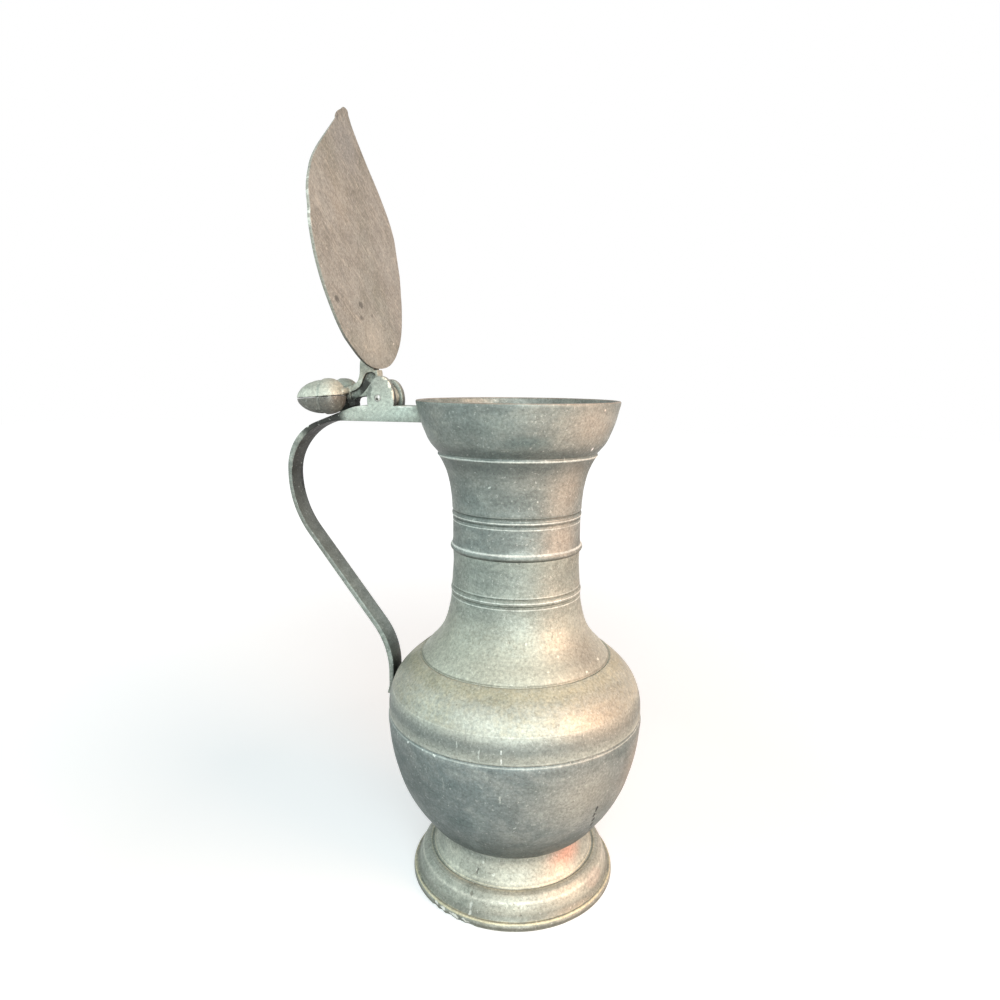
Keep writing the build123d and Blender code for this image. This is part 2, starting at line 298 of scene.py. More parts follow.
def old_pewter(name, deep, middle, pale, cast="#b5ab98", rough=0.52, metal=0.3, stains=0.3, wiped=(1, 1, 2.6),
               streaks=0.0, dust=(), seams_and_painted_light=(), scratched=(), painted_side_light=(), marks=(), cracks=(), crevice_shade=0.0):
    """Aged pewter: a soft tin alloy gone dull. Grey-green oxide lies in wiped clouds over turned metal,
    rubbed paler in patches, grained, pitted and crossed by fine scratches. All sizes are in mm.
    seams_and_painted_light is (height, width, colour, strength) for rings: dark joints, dirt and residue,
    painted shade in grooves and under bands, and painted highlights on ridges and beads.
    dust is (colour, low, high, strength), dried polish in specks between two heights.
    scratched is (angle, size, colour, strength) for fine lines that all run one way.
    painted_side_light is (direction, colour, strength): painted shade or light on the sides that face that
    way.
    marks and cracks are (place, half sizes, colour, strength) stains, drips and splits, and also painted
    shadows and highlights.
    A MapRange node takes its value, its range and its result's range as sockets 0 to 4."""
    material, tree, output = bare(name)
    place = put(tree, "TexCoord").outputs["Object"]
    height = put(tree, "SeparateXYZ", {0: place}).outputs["Z"]
    noises = {}
    for pattern, (size, detail, roughness) in PATTERNS.items():
        noises[pattern] = put(tree, "TexNoise", {
            "Vector": place, "Scale": 1 / (size * MM), "Detail": detail, "Roughness": roughness,
        }).outputs

    wiping = put(tree, "Mapping", {"Vector": place, "Scale": wiped}).outputs[0]
    strokes = put(tree, "TexNoise", {
        "Vector": wiping, "Scale": 1 / (STROKE_SIZE * MM), "Detail": 7, "Roughness": 0.68,
        "Distortion": 0.6,
    }).outputs[0]
    blurred = {0: STROKE_SHARE, 2: noises["oxide"][0], 3: strokes}
    tone = put(tree, "Mix", blurred, data_type="FLOAT").outputs[0]
    tones = [(0.31, deep), (0.50, middle), (0.71, pale)]
    colour = put(tree, "ValToRGB", {"Fac": tone}, stops=tones).outputs[0]

    # Each layer is a mask, a paint and a way to blend it, from the metal outwards.
    skin = put(tree, "MapRange", {0: noises["cast skin"][0], 1: 0.46, 2: 0.68, 4: stains}).outputs[0]
    layers = [(skin, linear(cast), "MIX")]
    if streaks:
        running = put(tree, "Mapping", {"Vector": place, "Scale": STREAK_STRETCH}).outputs[0]
        runs = put(tree, "TexNoise", {
            "Vector": running, "Scale": 1 / (STREAK_SIZE * MM), "Detail": 4, "Roughness": 0.6,
        }).outputs[0]
        streaked = put(tree, "MapRange", {0: runs, 1: 0.35, 2: 0.65, 3: 1 - streaks, 4: 1 + streaks})
        layers.append((1.0, streaked.outputs[0], "MULTIPLY"))
    if dust:
        dust_colour, low, high, strength = dust
        lying = put(tree, "MapRange", {0: height, 1: (low - 0.8) * MM, 2: (low + 0.8) * MM}).outputs[0]
        below = put(tree, "MapRange", {0: height, 1: (high - POLISH_FADE) * MM, 2: high * MM, 3: 1.0, 4: 0.0})
        speckled = put(tree, "MapRange", {0: noises["polish"][0], 1: 0.42, 2: 0.60, 3: 0.1})
        for part in (below.outputs[0], speckled.outputs[0], strength):
            lying = put(tree, "Math", {0: lying, 1: part}, operation="MULTIPLY").outputs[0]
        layers.append((lying, linear(dust_colour), "MIX"))
    ragged = put(tree, "MapRange", {0: noises["ragged"][0], 1: 0.33, 2: 0.68, 3: 0.45, 4: 1.25}).outputs[0]
    # Rings round the axis: dark joints and dirt, and also painted shade and painted highlights.
    for seam_height, seam_width, seam_colour, strength in seams_and_painted_light:
        above = put(tree, "Math", {0: height, 1: seam_height * MM}, operation="SUBTRACT")
        away = put(tree, "Math", {0: above.outputs[0]}, operation="ABSOLUTE")
        reach = seam_width * MM
        if seam_width < BROAD_SEAM:
            reach = put(tree, "Math", {0: ragged, 1: reach}, operation="MULTIPLY").outputs[0]
        ring = put(tree, "MapRange", {0: away.outputs[0], 2: reach, 3: strength, 4: 0.0},
                   interpolation_type="SMOOTHSTEP")
        layers.append((ring.outputs[0], linear(seam_colour), "MIX"))
    for angle, size, scratch_colour, strength in scratched:
        turned_plate = put(tree, "Mapping", {"Vector": place, "Rotation": (radians(angle), 0, 0)}).outputs[0]
        drawn_out = put(tree, "Mapping", {"Vector": turned_plate, "Scale": SCRATCH_STRETCH}).outputs[0]
        lines = put(tree, "TexNoise", {
            "Vector": drawn_out, "Scale": 1 / (size * MM), "Detail": 2, "Roughness": 0.5,
        }).outputs[0]
        scratches = put(tree, "MapRange", {0: lines, 1: 0.58, 2: 0.68, 4: strength}).outputs[0]
        layers.append((scratches, linear(scratch_colour), "MIX"))
    # Sides facing one direction get painted shade, or painted light where the colour is pale.
    facing = put(tree, "TexCoord").outputs["Normal"]
    for direction, side_light_colour, strength in painted_side_light:
        away = put(tree, "VectorMath", {0: facing, 1: direction}, operation="DOT_PRODUCT").outputs["Value"]
        side_light_mask = put(tree, "MapRange", {0: away, 1: 0.05, 2: 0.8, 4: strength}).outputs[0]
        layers.append((side_light_mask, linear(side_light_colour), "MIX"))

    # Marks have frayed edges, and a broad one fades from its middle. Cracks are also sunk.
    wobble = put(tree, "VectorMath", {0: noises["fray"]["Color"], 1: (0.5, 0.5, 0.5)}, operation="SUBTRACT")
    wobble = put(tree, "VectorMath", {0: wobble.outputs[0], "Scale": FRAY_REACH * MM}, operation="SCALE")
    frayed = put(tree, "VectorMath", {0: place, 1: wobble.outputs[0]}, operation="ADD").outputs[0]
    split = 0.0
    for i, (centre, half_sizes, mark_colour, strength) in enumerate([*marks, *cracks]):
        near = put(tree, "Mapping", {
            "Vector": frayed, "Location": [c * MM for c in centre], "Scale": [h * MM for h in half_sizes],
        }, vector_type="TEXTURE")
        out = put(tree, "VectorMath", {0: near.outputs[0]}, operation="LENGTH").outputs["Value"]
        core = 0.0 if max(half_sizes) > BROAD_MARK else MARK_CORE
        spot = put(tree, "MapRange", {0: out, 1: core, 2: 1.0, 3: strength, 4: 0.0},
                   interpolation_type="SMOOTHSTEP").outputs[0]
        layers.append((spot, linear(mark_colour), "MIX"))
        if i >= len(marks):
            split = put(tree, "Math", {0: spot, 1: split}, operation="MAXIMUM").outputs[0]
    # The ambient-occlusion layer darkens recesses and corners: painted shade, with some dirt.
    if crevice_shade:
        open_sky = put(tree, "AmbientOcclusion", {"Distance": CREVICE_REACH * MM}, samples=8).outputs["AO"]
        dirt = put(tree, "MapRange", {0: open_sky, 1: 0.3, 2: 0.85, 3: crevice_shade, 4: 0.0}).outputs[0]
        layers.append((dirt, linear(CREVICE_SHADE_AND_DIRT), "MIX"))

    grain = noises["grain"][0]
    grained = put(tree, "MapRange", {0: grain, 1: 0.25, 2: 0.75, 3: 0.54, 4: 1.46}).outputs[0]
    mottled = put(tree, "MapRange", {0: noises["mottle"][0], 1: 0.3, 2: 0.7, 3: 0.93, 4: 1.07}).outputs[0]
    specks = put(tree, "MapRange", {0: noises["specks"][0], 1: 0.64, 2: 0.74, 4: 0.35}).outputs[0]
    cells = put(tree, "TexVoronoi", {"Vector": place, "Scale": 1 / (PIT_SPACING * MM)}).outputs["Distance"]
    round_pits = put(tree, "MapRange", {0: cells, 1: 0.08, 2: 0.17, 3: 1.0, 4: 0.0}).outputs[0]
    pitted_areas = put(tree, "MapRange", {0: noises["pitted areas"][0], 1: 0.53, 2: 0.62}).outputs[0]
    holes = put(tree, "Math", {0: round_pits, 1: pitted_areas}, operation="MULTIPLY").outputs[0]
    dark_holes = put(tree, "Math", {0: holes, 1: PIT_STRENGTH}, operation="MULTIPLY").outputs[0]
    layers += [(1.0, grained, "MULTIPLY"), (1.0, mottled, "MULTIPLY"), (specks, linear(SPECK_WHITE), "MIX"),
               (dark_holes, linear(PIT_DARK), "MIX")]
    for mask, paint, blend in layers:
        coat = put(tree, "Mix", {0: mask, 6: colour, 7: paint}, data_type="RGBA", blend_type=blend)
        colour = coat.outputs[2]

    # The relief, from the finest grain to the pits: its height, its depth in mm and its strength.
    gloss = put(tree, "MapRange", {0: tone, 1: 0.4, 2: 0.6, 3: rough + 0.09, 4: rough - 0.08}).outputs[0]
    ring_place = put(tree, "Mapping", {"Vector": place, "Scale": LATHE_STRETCH}).outputs[0]
    rings = put(tree, "TexNoise", {"Vector": ring_place, "Scale": 1 / MM, "Detail": 3, "Roughness": 0.5})
    sunk = put(tree, "Math", {0: holes, 1: split}, operation="MAXIMUM").outputs[0]
    level = put(tree, "Math", {0: 1.0, 1: sunk}, operation="SUBTRACT").outputs[0]
    relief = ((grain, 0.12, 0.6), (strokes, 0.5, 0.35), (rings.outputs[0], 0.07, 0.5), (level, 0.2, 0.7))
    under = {}
    for shape, depth, strength in relief:
        bump = put(tree, "Bump", {"Height": shape, "Distance": depth * MM, "Strength": strength, **under})
        under = {"Normal": bump.outputs[0]}
    surface = put(tree, "BsdfPrincipled", {
        "Base Color": colour, "Metallic": metal, "Roughness": gloss, **under,
    })
    tree.links.new(surface.outputs[0], output.inputs[0])
    return material


foot = turned("foot_casting", [
    [(34.2, 25.5), (34.5, 22.4), (35.4, 19.4), (37.1, 16.3), (39.5, 13.5)],
    [(39.5, 13.5), (40.0, 13.5), (40.6, 13.9)],
    [(40.6, 13.9), (42.3, 13.5), (44.4, 11.4), (46.0, 8.2), (47.0, 5.2), (47.9, 3.7)],
    [(47.9, 3.7), (48.7, 3.6), (49.4, 2.6), (49.6, 1.4), (49.4, 0.25), (49.0, 0.0)],
    [(49.0, 0.0), (45.8, 0.0)],
    [(45.8, 0.0), (44.9, 3.4), (43.1, 6.9), (39.6, 10.9), (35.6, 15.0), (33.2, 18.2), (31.8, 23.9)],
    [(31.8, 23.9), (34.2, 25.5)],
], around=384)
hand_worn(foot, 0.08)
for vertex in foot.data.vertices:
    around = atan2(vertex.co.y, vertex.co.x)
    radius = hypot(vertex.co.x, vertex.co.y) / MM
    for chip_turn, chip_width, chip_depth in FOOT_CHIPS:
        along = (around - radians(chip_turn)) * radius
        rough_edge = 1 + 0.45 * noise.noise(vertex.co * CHIP_ROUGHNESS)
        low = max(0.0, 1 - vertex.co.z / (CHIPPED_BELOW * MM))
        bite = max(0.0, 1 - (along / chip_width) ** 2) * low * rough_edge
        if radius > CHIPPED_BEYOND:
            shrink = 1 - chip_depth * bite / radius
            vertex.co.x *= shrink
            vertex.co.y *= shrink
smooth(foot)
foot_pewter = old_pewter(
    "rubbed pewter of the foot", "#8a9086", "#a6a99e", "#c3c4b7", cast="#bfb59e", rough=0.5, streaks=0.04,
    seams_and_painted_light=[
        # Painted light in these rings: shadow under the bowl at 23.8, shade in the step at 13.3, a highlight
        # at 14.0.
        (23.8, 3.0, "#5f6763", 0.4), (13.3, 0.25, "#7b7c70", 0.35), (14.0, 0.35, "#e2dabd", 0.6),
        # Painted highlights at 15.2 and 10.6 on the stem and the roll, and painted shade at 4.6 on its steep
        # foot.
        (15.2, 1.2, "#dcdccb", 0.35), (10.6, 1.3, "#e0e0d2", 0.45), (4.6, 3.2, "#787a70", 0.75),
        # Yellowish polish painted bright as a highlight at 3.3, and painted shade on the rim's outer edge at
        # 1.3.
        (3.3, 0.7, "#e6dcb6", 0.7), (1.3, 1.9, "#63645a", 0.85),
    ],
    marks=[
        stain_or_painted_light(-31, 21.5, 35.2, 17, 7.5, "#d39c86", 0.75),
        stain_or_painted_light(-20, 9.0, 45, 9, 4.0, "#c9ab9c", 0.25),
        stain_or_painted_light(-104.9, 17.7, 36.3, 0.7, 0.7, "#e9ebe2", 0.8),
        stain_or_painted_light(-91.5, 17.6, 36.4, 0.7, 1.2, "#dfe2d8", 0.7),
        stain_or_painted_light(-101.2, 21.5, 34.7, 0.8, 0.8, "#e2e5db", 0.7),
        stain_or_painted_light(-123, 2.3, 49.4, 1.6, 0.8, "#f6f5ec", 0.85),
        stain_or_painted_light(-118, 1.9, 49.5, 2.0, 1.0, "#fbfaf2", 0.95),
        stain_or_painted_light(-110.5, 1.7, 49.5, 3.4, 0.9, "#f8f7ef", 0.9),
        stain_or_painted_light(-103, 1.6, 49.5, 2.6, 0.7, "#f4f3ea", 0.8),
    ],
    cracks=[
        stain_or_painted_light(-104.2, 17.4, 36.3, 0.8, 2.9, "#4c4b42", 0.7),
        stain_or_painted_light(-102.9, 14.0, 40.2, 0.8, 2.6, "#4c4b42", 0.8),
        stain_or_painted_light(-102.5, 11.4, 44.2, 0.9, 3.6, "#6b6a5e", 0.65),
        stain_or_painted_light(-101.9, 8.0, 46.1, 0.9, 3.6, "#dcdfd6", 0.65),
        stain_or_painted_light(-101.6, 4.8, 47.3, 0.9, 3.0, "#e4e6dd", 0.6),
    ],
)
foot.data.materials.append(foot_pewter)
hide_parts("foot")
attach(foot, "vessel")

# Floor disc
# A round pewter plate let into the hole in the bottom of the bowl, where the lathe's chuck held it.
# It is soldered all round and turned level, and is seen only down the neck.

disc = turned("floor_disc", [
    [(0.0, 20.8), (12.0, 20.8), (23.95, 20.8)],
    [(23.95, 20.8), (23.95, 22.4)],
    [(23.95, 22.4), (23.6, 22.8)],
    [(23.6, 22.8), (12.0, 22.8), (0.0, 22.8)],
    [(0.0, 22.8), (0.0, 20.8)],
], around=128, steps=5)
smooth(disc)
disc.data.materials.append(old_pewter("dull pewter of the floor", "#62665f", "#7d8078", "#93958b",
                                     cast="#8b8474"))
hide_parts("base_disc")
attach(disc, "vessel")

# Bowl
# The lower half of the belly, a cast and turned pewter bowl. It is soldered to the upper half at its
# widest line, and has split near its foot.

bowl = turned("bowl_casting", [
    [(24.0, 20.8), (29.5, 22.6), (34.2, 25.3), (37.0, 27.2), (42.6, 32.4), (46.0, 37.1), (49.3, 41.8),
     (54.2, 51.0), (57.35, 60.3), (59.5, 69.6), (60.6, 78.9), (60.85, 83.9), (60.5, 84.6)],
    [(60.5, 84.6), (60.2, 85.2)],
    [(60.2, 85.2), (58.3, 85.2)],
    [(58.3, 85.2), (58.0, 74.4), (56.6, 65.0), (53.8, 56.4), (47.4, 42.9), (40.9, 34.0), (33.2, 27.7),
     (24.0, 23.0)],
    [(24.0, 23.0), (24.0, 20.8)],
])
hand_worn(bowl)
smooth(bowl)
bowl_pewter = old_pewter(
    "dull blue-grey pewter of the bowl", "#5c6866", "#798280", "#a0a49e", cast="#8f8d83", rough=0.55,
    stains=0.25, wiped=(1, 1, 2.0), streaks=0.06,
    seams_and_painted_light=[
        # A painted highlight on the lip under the joint at 84.5, and painted shade darkening the bowl towards
        # its bottom.
        (84.5, 0.4, "#cfd5cc", 0.5), (28.0, 25.0, "#3d4543", 0.8),
    ],
    marks=[
        stain_or_painted_light(-83.5, 70.0, 59.5, 0.6, 2.6, "#c9cec6", 0.6),
        stain_or_painted_light(-108, 72.0, 59.8, 0.6, 4.6, "#b6bcb4", 0.45),
        stain_or_painted_light(-77.3, 54.9, 55.5, 0.8, 0.8, "#c8cdc6", 0.6),
        stain_or_painted_light(-128, 84.2, 60.8, 0.9, 0.7, "#f4f6f0", 0.9),
        stain_or_painted_light(-118.6, 84.4, 60.8, 0.9, 0.6, "#f4f6f0", 0.9),
        stain_or_painted_light(-112, 84.4, 60.8, 1.2, 0.5, "#eef1ea", 0.8),
        stain_or_painted_light(-93, 56.0, 56.0, 5.0, 9.0, "#8f9893", 0.35),
        stain_or_painted_light(-99, 38.0, 47.0, 4.0, 9.0, "#8a9490", 0.35),
        # Painted shade on the bowl's left side.
        stain_or_painted_light(-134, 62.0, 57.0, 38, 32, "#4c5553", 0.6),
        # Painted warm lamp light on the front and the right of the bowl.
        stain_or_painted_light(-50, 66.0, 58.5, 32, 26, "#aeaca0", 0.65),
        stain_or_painted_light(-8, 66.0, 58.5, 26, 24, "#aba092", 0.5),
    ],
    cracks=[
        stain_or_painted_light(-37.4, 56.6, 56.1, 0.9, 2.8, "#23241f", 0.9),
        stain_or_painted_light(-37.9, 53.4, 54.9, 0.9, 3.0, "#23241f", 0.9),
        stain_or_painted_light(-36.6, 49.6, 53.4, 0.9, 3.2, "#23241f", 0.9),
        stain_or_painted_light(-35.4, 46.2, 51.7, 1.2, 2.9, "#2b2b25", 0.9),
        stain_or_painted_light(-33.4, 42.6, 49.6, 1.2, 2.9, "#2b2b25", 0.85),
        stain_or_painted_light(-31.5, 39.6, 47.8, 0.8, 2.4, "#34342d", 0.7),
    ],
)
bowl.data.materials.append(bowl_pewter)
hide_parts("lower_belly")
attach(bowl, "vessel")

# Upper belly
# The shoulder half of the belly, cast and turned in pewter. The neck is soldered inside its top edge,
# and dried polish lies there.

upper_belly = turned("upper_belly_casting", [
    [(60.1, 85.2), (60.45, 85.6)],
    [(60.45, 85.6), (60.6, 88.2), (60.2, 92.8), (58.9, 97.4), (56.6, 102.1), (52.8, 106.7), (49.6, 109.6),
     (46.3, 112.3), (45.7, 112.6)],
    [(45.7, 112.6), (45.0, 112.3)],
    [(45.0, 112.3), (42.9, 112.6)],
    [(42.9, 112.6), (50.4, 105.2), (55.2, 99.2), (57.9, 92.6), (58.4, 85.2)],
    [(58.4, 85.2), (60.1, 85.2)],
])
hand_worn(upper_belly)
smooth(upper_belly)
shoulder_pewter = old_pewter(
    "pewter of the shoulder with dried polish", "#8c9289", "#a9aca1", "#c9c9bb", cast="#bcb09c", rough=0.5,
    dust=("#bdb59b", 97.0, 123.0, 0.5),
    seams_and_painted_light=[
        # The dark joint at 85.35 is real; 86.3 is a painted highlight on its lip, 92.0 painted shade on the
        # upright band.
        (85.35, 0.45, "#4b4f47", 0.8), (86.3, 0.5, "#c3c9c0", 0.5), (92.0, 6.8, "#767c77", 0.85),
        (97.3, 0.5, "#d5d8cd", 0.35), (110.6, 4.2, "#b7ac84", 0.28),
    ],
    marks=[
        stain_or_painted_light(-101.7, 92.3, 60.2, 0.5, 1.8, "#dfe3da", 0.5),
        stain_or_painted_light(-92.0, 89.5, 60.4, 0.5, 4.2, "#dde2d9", 0.5),
        stain_or_painted_light(-83.1, 91.6, 60.3, 0.6, 1.2, "#eef1ea", 0.8),
        stain_or_painted_light(-83.1, 87.2, 60.6, 0.6, 2.0, "#f4f6f0", 0.85),
        stain_or_painted_light(-128, 86.6, 60.7, 0.8, 0.6, "#eef1ea", 0.8),
        stain_or_painted_light(-95, 101.0, 57.0, 20, 9, "#ccd1c6", 0.6),
        # Painted warm lamp light on the right of the shoulder.
        stain_or_painted_light(-32, 100.0, 57.0, 34, 16, "#9a9384", 0.65),
    ],
)
upper_belly.data.materials.append(shoulder_pewter)
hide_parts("upper_belly")
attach(upper_belly, "vessel")

# Lower neck
# A cast pewter tube that spreads into the shoulder below two turned lines. It is soldered inside the
# belly's top edge.

lower_neck = turned("lower_neck_casting", [
    [(44.9, 112.4), (43.9, 113.8), (42.1, 116.0), (37.9, 120.6), (34.7, 125.3), (32.85, 129.9),
     (31.65, 134.6), (30.8, 139.2), (30.55, 142.2)],
    [(30.55, 142.2), (30.35, 142.45), (29.95, 142.85), (30.5, 143.35), (30.75, 144.3), (30.7, 145.3),
     (30.35, 145.85)],
    [(30.35, 145.85), (29.9, 146.25), (30.3, 146.75), (30.25, 147.3)],
    [(30.25, 147.3), (30.05, 149.5), (29.8, 153.1), (29.55, 158.5), (29.8, 163.2)],
    [(29.8, 163.2), (27.6, 163.2)],
    [(27.6, 163.2), (27.4, 158.0), (28.0, 147.0), (29.0, 136.7), (31.8, 126.7), (35.7, 120.6),
     (39.9, 116.0), (42.7, 112.4)],
    [(42.7, 112.4), (44.9, 112.4)],
])
hand_worn(lower_neck)
smooth(lower_neck)
lower_neck.data.materials.append(old_pewter(
    "grey-green pewter of the lower neck", "#737b74", "#929990", "#b1b4a9", cast="#aaa08f", rough=0.5,
    dust=("#bfb8a2", 100.0, 137.0, 0.25),
    seams_and_painted_light=[
        # The rings from 141.9 to 147.25 are painted: highlights on the ridges and lips, shade in the two
        # grooves.
        (155.0, 9.0, "#7c837c", 0.5), (114.0, 30.0, "#bbbcac", 0.8), (147.25, 0.35, "#dbe2d8", 0.5),
        (146.4, 0.35, "#4d5149", 0.8), (144.75, 0.5, "#eef3ea", 0.8), (143.4, 0.5, "#4d5149", 0.8),
        (141.9, 0.4, "#e9eee5", 0.75), (112.9, 0.7, "#6c6d60", 0.7),
    ],
    marks=[
        stain_or_painted_light(-47.8, 121.7, 37.1, 0.9, 0.7, "#ecebdd", 0.8),
        # Painted warm lamp light on the right of the neck's foot.
        stain_or_painted_light(-24, 119.0, 40.0, 27, 17, "#948d80", 0.75),
        stain_or_painted_light(-14.4, 115.8, 42.2, 1.1, 0.8, "#eeeada", 0.8),
        stain_or_painted_light(-57.8, 117.3, 40.8, 0.7, 0.5, "#ecebdd", 0.7),
        stain_or_painted_light(-31.2, 114.1, 43.6, 1.0, 0.6, "#eeeada", 0.7),
        stain_or_painted_light(-70, 128.0, 33.6, 0.6, 0.8, "#e8e8da", 0.6),
        stain_or_painted_light(-95, 118.5, 39.8, 0.6, 0.6, "#e8e8da", 0.5),
    ],
))
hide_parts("lower_neck")
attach(lower_neck, "vessel")

# Upper neck
# The waisted tube under the mouth, with a half-round band at its foot and two more turned lines.
# It is cast in pewter and soldered to the lower neck under the band.

upper_neck = turned("upper_neck_casting", [
    [(29.85, 163.2), (30.0, 163.5)],
    [(30.0, 163.5), (30.6, 163.95), (30.95, 164.85), (30.7, 165.8), (30.1, 166.45)],
    [(30.1, 166.45), (29.85, 168.0), (29.8, 172.0), (29.8, 176.3), (29.85, 178.2)],
    [(29.85, 178.2), (29.75, 178.4), (29.35, 178.8), (29.85, 179.25), (30.15, 180.2), (30.1, 181.2),
     (29.8, 181.55)],
    [(29.8, 181.55), (29.4, 181.95), (29.85, 182.4), (30.15, 182.9)],
    [(30.15, 182.9), (30.25, 185.6), (30.7, 190.2), (31.5, 194.9), (32.7, 199.5), (34.4, 203.6),
     (36.1, 206.8)],
    [(36.1, 206.8), (33.9, 206.8)],
    [(33.9, 206.8), (31.2, 201.2), (29.3, 195.0), (27.9, 184.0), (27.6, 173.0), (27.6, 163.2)],
    [(27.6, 163.2), (29.85, 163.2)],
])
hand_worn(upper_neck)
smooth(upper_neck)
upper_neck.data.materials.append(old_pewter(
    "grey-green pewter of the neck", "#616965", "#7d847f", "#9da198", cast="#968d81", rough=0.5,
    seams_and_painted_light=[
        # From 177.35 to 182.65: painted highlights on the ridges and lips, and painted shade in the grooves.
        (205.0, 5.0, "#545b58", 0.6), (182.65, 0.3, "#cfd6cc", 0.45), (181.95, 0.4, "#474b44", 0.8),
        (180.1, 0.5, "#eef3ea", 0.85), (178.9, 0.45, "#4d5149", 0.8), (177.35, 0.4, "#e9eee5", 0.75),
        # A painted highlight on the band at 166.2, and painted shade under it at 164.2 and 163.4, over the
        # dark joint.
        (166.2, 0.75, "#f1f4ec", 0.85), (164.2, 0.5, "#5a5d53", 0.6), (163.4, 0.9, "#3f423a", 0.85),
    ],
    marks=[
        # Painted warm lamp light on the right of the neck.
        stain_or_painted_light(-35, 194.0, 32.0, 17, 20, "#a8a194", 0.7),
        stain_or_painted_light(-35, 172.0, 30.0, 15, 12, "#a8a194", 0.75),
        stain_or_painted_light(-100, 196.0, 31.7, 0.7, 0.7, "#dfe4dc", 0.7),
        stain_or_painted_light(-62, 190.0, 30.7, 0.5, 0.5, "#dfe4dc", 0.6),
    ],
))
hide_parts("upper_neck")
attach(upper_neck, "vessel")

# Collar
# The cup-shaped mouth, cast in pewter with a half-round band at its foot and turned thin at the lip.
# It is soldered to the neck under that band.

collar = turned("collar_casting", [
    [(36.1, 206.8), (36.35, 207.0), (36.85, 207.75), (36.6, 208.5), (36.6, 208.75)],
    [(36.6, 208.75), (38.2, 210.5), (40.5, 213.4), (42.7, 218.1), (44.4, 222.7), (45.65, 227.4),
     (46.55, 231.2), (46.5, 231.7), (46.2, 232.0)],
    [(46.2, 232.0), (45.2, 232.0), (44.9, 231.7)],
    [(44.9, 231.7), (43.6, 226.6), (42.3, 222.0), (39.6, 215.8), (36.2, 210.8), (33.9, 206.8)],
    [(33.9, 206.8), (36.1, 206.8)],
])
hand_worn(collar)
smooth(collar)
collar_pewter = old_pewter(
    "grey-green pewter of the mouth", "#5d6864", "#7d8580", "#a3a79d", cast="#9b8f82", rough=0.5,
    wiped=(1, 1, 2.2),
    seams_and_painted_light=[
        # Painted shade in the mouth's lower hollow at 210.3, a painted highlight on its band at 207.5,
        # painted shade under it.
        (210.3, 4.5, "#4d5654", 0.6), (207.5, 0.75, "#e9eee6", 0.85), (206.3, 0.5, "#43463f", 0.7),
        (231.9, 0.5, "#a8937f", 0.6),
    ],
    marks=[
        # Painted warm lamp light on the right of the mouth, then two painted glints on it.
        stain_or_painted_light(-32, 222.0, 44.0, 26, 16, "#aaa396", 0.7),
        stain_or_painted_light(-24.0, 212.2, 39.4, 0.9, 1.3, "#ffffff", 0.95),
        stain_or_painted_light(-26.0, 229.0, 46.0, 0.7, 0.8, "#f3e9dc", 0.8),
        # Painted shade in the lower hollow of the mouth, in front.
        stain_or_painted_light(-72, 216.0, 41.8, 15, 5.0, "#566765", 0.7),
        stain_or_painted_light(-92, 223.0, 44.4, 14, 7.0, "#8b948d", 0.5),
    ],
)
collar.data.materials.append(collar_pewter)
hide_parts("collar")
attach(collar, "vessel")

# Handle
# One pewter casting: a bar on the mouth, a flat strap bent down to the belly, and two ears that
# carry the hinge pin. The strap's inner edges were scraped down, which leaves an arris on each side.

BAR_HALF_WIDTH = 7.0
STRAP_HALF_WIDTH = 5.75
STRAP_MERGE = 0.02
SECTION_STEPS = 22
TAPER_TOP = 221.6
TAPER_END = 204.0
SCRAPED_WIDTH = 4.2
SCRAPED_DEPTH = 0.22
EDGE_ROUND = 0.45
TAIL_LIP = 89.5
TAIL_FLARE = 1.1
EAR_FOOT = 231.0
EARS = [(-1, -64.3, 6.7, 11.3), (1, -63.6, 6.5, 9.8)]
EAR_INNER = 3.45
EAR_ROOT = 224.0
PIN = Vector((-65.6, 0, 232.1))
KNUCKLE_SLOT_R = 7.4
SLOT_OVERCUT = 0.04
PIN_HOLE_R = 1.66
PIN_HOLE_LENGTH = 30


def bent(corners, radii, spacing):
    """Points along straight runs joined by tangent arcs, as a strap is bent over formers."""
    corners = [Vector(corner) for corner in corners]
    bends = [[corners[0]]]
    for before, corner, after, radius in zip(corners, corners[1:], corners[2:], radii):
        back = (before - corner).normalized()
        ahead = (after - corner).normalized()
        turn = pi - back.angle(ahead)
        reach = radius * sin(turn / 2) / cos(turn / 2)
        centre = corner + (back + ahead).normalized() * hypot(radius, reach)
        start = corner + back * reach - centre
        end = corner + ahead * reach - centre
        parts = max(2, round(radius * turn / spacing))
        way = 1 if start.x * end.y > start.y * end.x else -1
        bends.append([centre + Matrix.Rotation(way * turn * i / parts, 2) @ start for i in range(parts + 1)])
    bends.append([corners[-1]])
    points = list(bends[0])
    for bend_points in bends[1:]:
        straight = bend_points[0] - points[-1]
        parts = max(1, round(straight.length / spacing))
        start = points[-1]
        points += [start + straight * i / parts for i in range(1, parts)]
        points += bend_points
    return points


def cut(piece, tool, how):
    """Joins a tool shape to a piece, or cuts it away, and removes the tool."""
    alone()
    bpy.context.view_layer.objects.active = piece
    change = piece.modifiers.new("change", "BOOLEAN")
    change.operation = how
    change.solver = "EXACT"
    change.object = tool
    bpy.ops.object.modifier_apply(modifier=change.name)
    bpy.data.objects.remove(tool)


def soften(piece, width, segments=3, angle=35):
    """Rounds off a piece's sharp edges by width mm."""
    alone()
    bpy.context.view_layer.objects.active = piece
    edge = piece.modifiers.new("worn edges", "BEVEL")
    edge.width = width * MM
    edge.segments = segments
    edge.limit_method = "ANGLE"
    edge.angle_limit = radians(angle)
    bpy.ops.object.modifier_apply(modifier=edge.name)


